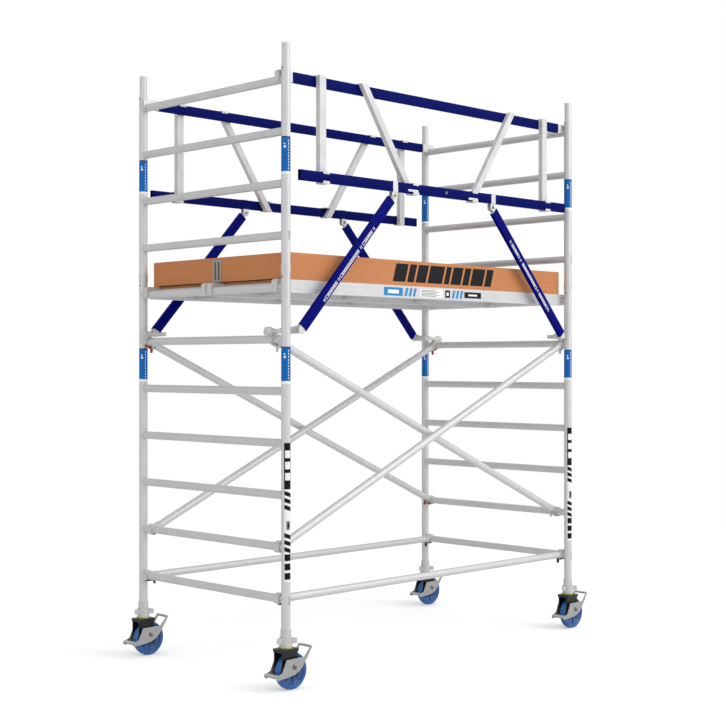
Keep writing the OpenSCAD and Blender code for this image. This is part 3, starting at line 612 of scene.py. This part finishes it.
def strut_fitting(bm, sx, sy):
    """Ribbed casting from the tube's end in to the hook arm, and a cone and knob at the arm's end."""
    # centre, turn about Z in degrees and height at each station along the casting
    stations = [((1.150, 0.660, 1.9510), 0, 0.050), ((1.163, 0.655, 1.9420), 25, 0.048),
                ((1.174, 0.638, 1.9380), 60, 0.042), ((1.181, 0.616, 1.9350), 76, 0.037),
                ((1.190, 0.592, 1.9340), 66, 0.034), ((1.203, 0.571, 1.9335), 38, 0.032),
                ((1.222, 0.5605, 1.9330), 8, 0.030)]
    width, corner, rib_high, strut_lean = 0.0225, 0.006, 0.0012, math.radians(42)
    rings, steps = [], 4
    for k in range((len(stations) - 1) * steps + 1):
        i = min(k // steps, len(stations) - 2)
        t = (k - i * steps) / steps
        (c0, a0, h0), (c1, a1, h1) = stations[i], stations[i + 1]
        centre = Vector(c0).lerp(Vector(c1), t)
        a = math.radians(a0 + (a1 - a0) * t)
        lean = strut_lean * max(0.0, 1 - k / (2 * steps))
        across = Vector((math.sin(a), math.cos(a), 0))
        up = Vector((math.sin(lean), 0, math.cos(lean)))
        rib = rib_high if k % 4 in (1, 2) else 0.0
        w, h = width + rib, h0 + (h1 - h0) * t + 2 * rib
        rings.append([centre + across * u + up * v for u, v in rect_ring(w, h, corner, 3)])
    loft(bm, rings)
    axis = Matrix.Translation((1.222, 0.559, 1.930)) @ Matrix.Rotation(math.pi / 2, 4, "Y")
    # radius and distance along the axis
    cone = [(0.0115, 0.0), (0.0118, 0.040), (0.0190, 0.066), (0.0200, 0.069),
            (0.0214, 0.070), (0.0220, 0.0715), (0.0220, 0.080), (0.0211, 0.083),
            (0.0220, 0.086), (0.0220, 0.098), (0.0205, 0.1018), (0.0170, 0.1028)]
    count = 40
    turn = [2 * math.pi * q / count for q in range(count)]
    loft(bm, [[axis @ Vector((r * math.cos(a), r * math.sin(a), z)) for a in turn] for r, z in cone])
    bmesh.ops.transform(bm, matrix=Matrix.Diagonal((sx, sy, 1, 1)), verts=bm.verts)


def slim(low, high):
    """True for a strut's end fittings, false for its tube."""
    return (high - low).length < 0.5


def on_strut(place):
    """A strut's outer face: u runs down the strut, v upwards across it."""
    up = 1 if (place @ Vector((0, 0, 1)) - place.translation).z > 0 else -1

    def at(u, v, lift):
        return place @ Vector((u, RAIL_THICK / 2 + lift, -up * v))
    return at


def strut_marks():
    """A printed strip: outlined panels with dashes in them, and short bars between the panels."""
    low, high, line, dash = 0.0, 0.018, 0.003, 0.012
    rects = [(0.250, 0.845, low - line, high + line, 0)]
    for start, end in ((0.286, 0.397), (0.443, 0.656), (0.693, 0.822)):
        rects.append((start, end, low, high, 1))
        rects.append((start + line, end - line, 0.0035, 0.0145, 0))
        for k in range(int((end - start - 0.014) / 0.017)):
            u = start + 0.008 + 0.017 * k
            rects.append((u, u + dash, 0.006, 0.012, 1))
    for start in (0.259, 0.411, 0.666, 0.829):
        rects += [(u, u + 0.0035, low, high, 1) for u in (start, start + 0.009)]
    return rects


for corner, (sx, sy) in CORNERS.items():
    place, length = strut_place(sx, sy)
    body = "strut_" + corner
    bm = bmesh.new()
    middle = place @ Matrix.Translation(((STRUT_START + length) / 2, 0, 0))
    rail_tube(bm, middle, length - STRUT_START)
    piece("strut_tube_" + corner, bm, body, ["strut"], (body,))
    from_node(body, "strut_ends_" + corner, body, ["cast"], 0.0014, 3,
              keep=slim, replaces=False)
    bm = bmesh.new()
    strut_fitting(bm, sx, sy)
    piece("strut_fitting_" + corner, bm, body, ["cast"], sharp=40)
    bm = bmesh.new()
    film(bm, strut_marks(), on_strut(place))
    piece("strut_label_" + corner, bm, body, ["strut", "sticker_white"])

# ---- platform ------------------------------------------------------------------------------------

from_node("deck_beams", "deck_profiles", "tower", ["metal_x"], 0.0008, 2)
from_node("deck_hooks", "deck_claws", "tower", ["cast"], 0.0018, 3)


BOARD_LOOKS = ["deck", "deck_edge", "bracket", "under"]


def board_part(centre, normal):
    """A board's face, edge or underside, by where the surface points."""
    level = 0.7
    return 3 if normal.z < -level else 0 if normal.z > level else 1


def hatch_part(centre, normal):
    """As board_part, with metal for what stands up to the deck's top or lies at the hinges."""
    metal = centre.z > DECK_TOP - 0.0004 or centre.y < HINGE_Y
    return 2 if metal else board_part(centre, normal)


from_node("deck_panels", "deck_boards", "tower", BOARD_LOOKS, 0.0008, 2,
          material=board_part)
from_node("trapdoor", "hatch_board", "trapdoor", BOARD_LOOKS, 0.0008, 2,
          material=hatch_part)
from_node("trapdoor_hinges", "hatch_hinges", "tower", ["bracket"], 0.0004, 2)


def board_way(centre, normal):
    """0 on the long toe boards, 1 on the end boards."""
    return 1 if abs(centre.x) > DECK_HALF - 0.00005 else 0


from_node("toe_boards", "toe_planks", "tower", ["toe_x", "toe_y"], 0.0015, 3,
          material=board_way)
from_node("toe_board_brackets", "toe_plates", "tower", ["plate"], 0.0005, 2)

# a thin dark brown strip along the foot of each end toe board, where it meets the deck: a painted
# shadow of that gap, not a real part
bm = bmesh.new()
for side in (-1, 1):
    block(bm, (side * 1.2062, 0, 2.2150), (0.0012, 1.10, 0.0070))
rounded(piece("painted_shadow_strips", bm, "tower", ["gap_shadow"]), 0.0004)

# ---- castors -------------------------------------------------------------------------------------


def wheel_mesh(sx, sy):
    """Wheel with rounded tread, grooved sides, ribs between hub and rim, and a bearing seat."""
    bm = bmesh.new()
    place = Matrix.Translation((sx * POST_X + TRAIL, sy * POST_Y, AXLE_Z))
    place = place @ Matrix.Rotation(math.pi / 2, 4, "X")
    # radius and distance from the wheel's middle plane, from the bore out to the tread
    side = [(0.0065, 0.0240), (0.0150, 0.0240), (0.0156, HUB_HALF), (0.0262, HUB_HALF),
            (0.0282, 0.0262), (0.0300, 0.0215), (0.0330, 0.0150), (0.0370, 0.0135),
            (0.0640, 0.0150), (0.0670, 0.0160), (0.0700, 0.0200), (0.0718, 0.0232),
            (0.0740, 0.0240), (0.0790, 0.0240), (0.0796, 0.0228), (0.0814, 0.0228),
            (0.0820, 0.0240), (0.0880, 0.0240), (0.0925, 0.0232), (0.0955, 0.0214),
            (0.0978, 0.0186), (0.0992, 0.0146), (0.0999, 0.0090), (0.1000, 0.0030)]
    profile = side + [(r, -z) for r, z in reversed(side)]
    tread_points = 8
    tread = range(len(side) - tread_points, len(side) + tread_points - 1)
    lathe(bm, place, profile, 96, lambda i: 1 if i in tread else 0)
    ribs, rib_size, rib_r, rib_out = 8, (0.0400, 0.0060, 0.0050), 0.0510, 0.0165
    for s in (-1, 1):
        for k in range(ribs):
            a = 2 * math.pi * k / ribs
            at = place @ Vector((rib_r * math.cos(a), rib_r * math.sin(a), s * rib_out))
            block(bm, at, rib_size, place.to_3x3() @ Matrix.Rotation(a, 3, "Z"))
    return bm


def flared(x, y):
    """Crown whose long sides lean out towards its top, over the swivel axis at x, y."""
    def warp(p):
        dy = p.y - y
        if p.z < CROWN_LOW - 0.0005 or abs(dy) < 0.040:
            return p
        t = min(1.0, max(0.0, (p.z - CROWN_LOW) / CROWN_HIGH))
        return Vector((p.x, y + math.copysign(CROWN_HALF_Y + CROWN_FLARE * t, dy), p.z))
    return warp


def gussets(bm, sx, sy):
    """A web under each long side of the crown that thins out down the fork's leg."""
    x, y = sx * POST_X, sy * POST_Y
    sections = ((CROWN_LOW, CROWN_HALF_Y, 0.0555), (0.2000, 0.0372, 0.0550),
                (0.1900, 0.0357, 0.0535), (0.1780, 0.0346, 0.0510))  # height, reach, half length
    inner, taper = 0.0300, 0.002
    for s in (-1, 1):
        rings = []
        for z, out, half in sections:
            corners = ((-half, inner), (half, inner), (half - taper, out), (-half + taper, out))
            rings.append([Vector((x + u, y + s * v, z)) for u, v in corners])
        loft(bm, rings)


def pads(bm, sx, sy):
    """Foot pad with raised strips, and release pad, on the brake's two bars."""
    x, y = sx * POST_X, sy * POST_Y
    pad_wide, pad_thick = 0.094, 0.0050
    block(bm, (x - 0.1050, y, 0.0945), (0.024, pad_wide, pad_thick))
    for k in range(4):
        block(bm, (x - 0.1130 + 0.0055 * k, y, 0.0978), (0.0022, 0.086, 0.0024))
    block(bm, (x + 0.1415, y, 0.2262), (0.017, pad_wide, pad_thick))


def leg_part(centre, normal):
    """1 on the plated bearing flange at the leg's foot, 0 on the threaded tube above it."""
    flange_top = 0.2323
    return 1 if centre.z < flange_top else 0


wheel_angle = math.radians(35)
for corner, (sx, sy) in CORNERS.items():
    wheel = piece("tyre_" + corner, wheel_mesh(sx, sy), "wheel_" + corner,
                  ["wheel", "tread"], ("wheel_" + corner,))
    shape(wheel, kind="BEVEL", width=0.0007, segments=2,
          limit_method="ANGLE", angle_limit=wheel_angle)
    wheel.data.shade_smooth()
    wheel.data.set_sharp_from_angle(angle=wheel_angle)
    castor, brake = "castor_" + corner, "brake_" + corner
    from_node("fork_" + corner, "housing_" + corner, castor, ["black"], 0.0030, 3,
              warp=flared(sx * POST_X, sy * POST_Y))
    from_node("axle_" + corner, "studs_" + corner, castor, ["steel"], 0.0006, 2)
    from_node(brake, "rocker_" + corner, brake, ["brake"], 0.0010, 2)
    bm = bmesh.new()
    pads(bm, sx, sy)
    rounded(piece("rocker_pads_" + corner, bm, brake, ["rubber"]), 0.0010, 2)
    bm = bmesh.new()
    gussets(bm, sx, sy)
    rounded(piece("gussets_" + corner, bm, castor, ["black"]), 0.0015, 2)
    from_node("leg_" + corner, "jack_" + corner, "leg_" + corner, ["metal_z", "zinc"],
              0, material=leg_part)
from_node("leg_nuts", "collar_nuts", "tower", ["nut"], 0.0022, 3)

# ---- printed films -------------------------------------------------------------------------------


def on_stile(sx, sy, facing):
    """A surface wrapped round a stile: u is the angle from the facing direction, v the height."""
    def at(u, v, lift):
        a = facing + u
        r = STILE_R + lift
        return Vector((sx * POST_X + r * math.cos(a), sy * POST_Y + r * math.sin(a), v))
    return at


VIEWED = math.radians(225)  # the side that faces the camera
FRONT_FACE = math.radians(270)
PLATE_FACE = math.radians(282)
STEP = 0.14  # largest cell of a film round a stile, in radians
LABEL_LIFT = 0.0003

# blue sleeves round the stiles, with a white foot, a black top line and faint rings
bm = bmesh.new()
full, foot, top_line = math.radians(165), 0.0155, 0.004
for sx, sy in CORNERS.values():
    around = on_stile(sx, sy, VIEWED)
    for low, high in ((1.660, 1.845), (2.785, 2.973)):
        rects = [(-full, full, low - foot, high, 0), (-full, full, low - foot, low, 1),
                 (-full, full, high - top_line, high, 2)]
        for z in [low + 0.022 + 0.026 * k for k in range(4)]:
            rects.append((-full, full, z, z + 0.0025, 3))
        rects.append((-0.40, 0.05, high - 0.062, high - 0.050, 1))
        rects.append((-0.40, -0.10, high - 0.044, high - 0.036, 1))
        for z in [low + 0.010 + 0.0165 * k for k in range(10)]:
            rects.append((0.58, 0.74, z, z + 0.010, 1))
        film(bm, rects, around, step=STEP)
piece("post_stickers", bm, "tower", ["sticker_blue", "sticker_white", "sticker_black", "sticker_deep"])


def leaning(surface, slope):
    """The same surface, with v falling as u grows."""
    return lambda u, v, lift: surface(u, v - slope * u, lift)


# a long label on each front stile: plain blocks and slanted bars
bm = bmesh.new()
left, right = -1.12, 0.80
for sx in (-1, 1):
    around = on_stile(sx, -1, FRONT_FACE)
    rects = [(left, right, 0.583, 1.329, 0), (left, right, 1.080, 1.329, 1)]
    for z in [1.288 - 0.060 * k for k in range(3)]:
        rects.append((-0.90, 0.42, z - 0.040, z, 0))
    for z in [0.596 + 0.050 * k for k in range(3)]:
        rects.append((left + 0.10, right - 0.14, z, z + 0.036, 1))
    rects += [(-0.62, 0.30, 0.862, 0.910, 2), (-0.36, 0.10, 0.874, 0.898, 1)]
    film(bm, rects, around, lift=LABEL_LIFT, step=STEP)
    # two groups of three slanted bars, over the label
    slanted = leaning(around, 0.009)
    for z in [low + 0.037 * k for low in (0.740, 0.966) for k in range(3)]:
        bar = (left + 0.06, right - 0.06, z, z + 0.023, 1)
        film(bm, [bar], slanted, lift=2 * LABEL_LIFT, step=STEP)
piece("stile_labels", bm, "tower", ["sticker_white", "sticker_black", "sticker_grey"])

# a small grey plate with four light lines
bm = bmesh.new()
for sx in (-1, 1):
    around = on_stile(sx, -1, PLATE_FACE)
    for z in (rung_z(0), rung_z(LOWER_RUNGS)):
        rects = [(-0.30, 0.34, z - 0.024, z + 0.024, 0)]
        for line in [z - 0.018 + 0.012 * k for k in range(4)]:
            rects.append((-0.20, 0.24, line, line + 0.005, 1))
        film(bm, rects, around, lift=LABEL_LIFT, step=STEP)
piece("rating_plates", bm, "tower", ["sticker_grey", "sticker_white"])


def facing_front(y):
    """A flat surface towards -Y: u along X, v along Z."""
    return lambda u, v, lift: Vector((u, -y - lift, v))


# small labels on the front middle rail
bm = bmesh.new()
rail_face = facing_front(MID_RAIL[0] + RAIL_THICK / 2)
film(bm, [(-0.330, -0.246, 2.757, 2.769, 0), (-0.322, -0.254, 2.762, 2.764, 1)], rail_face)
film(bm, [(0.208, 0.292, 2.752, 2.764, 0), (0.216, 0.284, 2.757, 2.759, 1)], rail_face)
film(bm, [(-0.010, 0.018, 2.762, 2.789, 2), (-0.004, 0.012, 2.768, 2.783, 1)], rail_face)
piece("rail_labels", bm, "tower", ["sticker_white", "sticker_grey", "sticker_black"])

# generic film patches along the front deck beam, and plain black marks along the front toe board
bm = bmesh.new()
front = facing_front(DECK_OUTER_Y)
low, high = 2.150, 2.199
film(bm, [(-0.458, -0.300, low, high, 2),
          (-0.425, -0.333, low + 0.014, high - 0.014, 1)], front)
rects = [(-0.150, 0.055, low, high, 1)]
for k in range(5):
    z = low + 0.005 + 0.0085 * k
    rects.append((-0.140, -0.01 + 0.03 * (k % 2), z, z + 0.004, 3))
film(bm, rects, front)
film(bm, [(0.075, 0.118, low + 0.002, high - 0.002, 0),
          (0.087, 0.106, low + 0.014, high - 0.014, 1)], front)
film(bm, [(0.252, 0.410, low + 0.006, high - 0.006, 0),
          (0.290, 0.372, low + 0.019, high - 0.019, 1)], front)


def tilted(foot):
    """The front face, with u growing as v rises from the foot."""
    return lambda u, v, lift: front(u + 0.30 * (v - foot), v, lift)


for u in [first + 0.036 * k for first in (-0.285, 0.135) for k in range(3)]:
    film(bm, [(u, u + 0.019, low, high, 2)], tilted(low))
low, high, at, gap = 2.234, 2.340, -0.385, 0.016
for width in (0.105, 0.058, 0.088, 0.130, 0.046, 0.092, 0.058, 0.118, 0.064):
    film(bm, [(at, at + width, low, high, 0)], tilted(low))
    at += width + gap
piece("beam_stickers", bm, "tower", ["sticker_black", "sticker_white", "sticker_cyan", "sticker_grey"])

# ---- stage ---------------------------------------------------------------------------------------

floor_mesh = bpy.data.meshes.new("floor")
bm = bmesh.new()
bmesh.ops.create_circle(bm, cap_ends=True, segments=96, radius=60)
bm.to_mesh(floor_mesh)
bm.free()
floor = bpy.data.objects.new("floor", floor_mesh)
bpy.context.scene.collection.objects.link(floor)
WHITE = (1, 1, 1, 1)
look = Look("floor_pale", 0.9, Specular_IOR_Level=0.0, Emission_Color=WHITE, Emission_Strength=0.22)
speck = look.noise(0.05)
look.colour(look.ramp(speck, (0.3, srgb(250, 250, 250)), (0.7, srgb(253, 253, 253))))
# away from the tower the floor fades into the white background
glow = look.node("ShaderNodeEmission", {"Color": WHITE, "Strength": 1.0})
distance = look.node("ShaderNodeVectorMath", {0: look.where}, operation="LENGTH").outputs["Value"]
fade = {"Value": distance, "From Min": 3.0, "From Max": 9.0}
far = look.node("ShaderNodeMapRange", fade).outputs[0]
blend = look.node("ShaderNodeMixShader", {0: far, 1: look.shader.outputs[0], 2: glow.outputs[0]})
# seen directly the floor is near white, but it throws less light back on the object
dim = look.node("ShaderNodeBsdfDiffuse", {"Color": (0.82, 0.82, 0.82, 1)})
seen = look.node("ShaderNodeLightPath").outputs["Is Camera Ray"]
either = look.node("ShaderNodeMixShader", {0: seen, 1: dim.outputs[0], 2: blend.outputs[0]})
surface = look.tree.nodes["Material Output"].inputs["Surface"]
look.tree.links.new(either.outputs[0], surface)
floor_mesh.materials.append(look.mat)

# seen directly the background is white; as light it is brightest from above and in front
world = bpy.data.worlds.new("studio")
bpy.context.scene.world = world
world.use_nodes = True
tree = world.node_tree
tree.nodes.clear()
where = tree.nodes.new("ShaderNodeTexCoord")
toward = tree.nodes.new("ShaderNodeVectorMath")
toward.operation = "DOT_PRODUCT"
BRIGHT_WAY = Vector((0.20, -0.62, 0.76)).normalized()
toward.inputs[1].default_value = BRIGHT_WAY
tree.links.new(where.outputs["Generated"], toward.inputs[0])
level = tree.nodes.new("ShaderNodeMapRange")
for key, value in {"From Min": -1.0, "From Max": 1.0, "To Min": 0.15, "To Max": 0.97}.items():
    level.inputs[key].default_value = value
tree.links.new(toward.outputs["Value"], level.inputs["Value"])
light = tree.nodes.new("ShaderNodeBackground")
tree.links.new(level.outputs[0], light.inputs["Strength"])
plain = tree.nodes.new("ShaderNodeBackground")
plain.inputs["Strength"].default_value = 1.0
path = tree.nodes.new("ShaderNodeLightPath")
choose = tree.nodes.new("ShaderNodeMixShader")
tree.links.new(path.outputs["Is Camera Ray"], choose.inputs[0])
tree.links.new(light.outputs[0], choose.inputs[1])
tree.links.new(plain.outputs[0], choose.inputs[2])
out = tree.nodes.new("ShaderNodeOutputWorld")
tree.links.new(choose.outputs[0], out.inputs["Surface"])
for background in (light, plain):
    background.inputs["Color"].default_value = WHITE


def softbox(name, location, target, size, power):
    """A square area light aimed at the target."""
    data = bpy.data.lights.new(name, "AREA")
    data.shape = "SQUARE"
    data.size = size
    data.energy = power
    lamp = bpy.data.objects.new(name, data)
    lamp.location = location
    aim = Vector(target) - Vector(location)
    lamp.rotation_euler = aim.to_track_quat("-Z", "Y").to_euler()
    bpy.context.scene.collection.objects.link(lamp)


softbox("key", (3.5, -8.0, 6.5), (0, 0, 1.6), 7.0, 360)
softbox("fill", (-8.5, 1.0, 4.0), (0, 0, 1.8), 5.0, 80)

scene = bpy.context.scene
scene.view_settings.view_transform = "Standard"
scene.view_settings.look = "None"
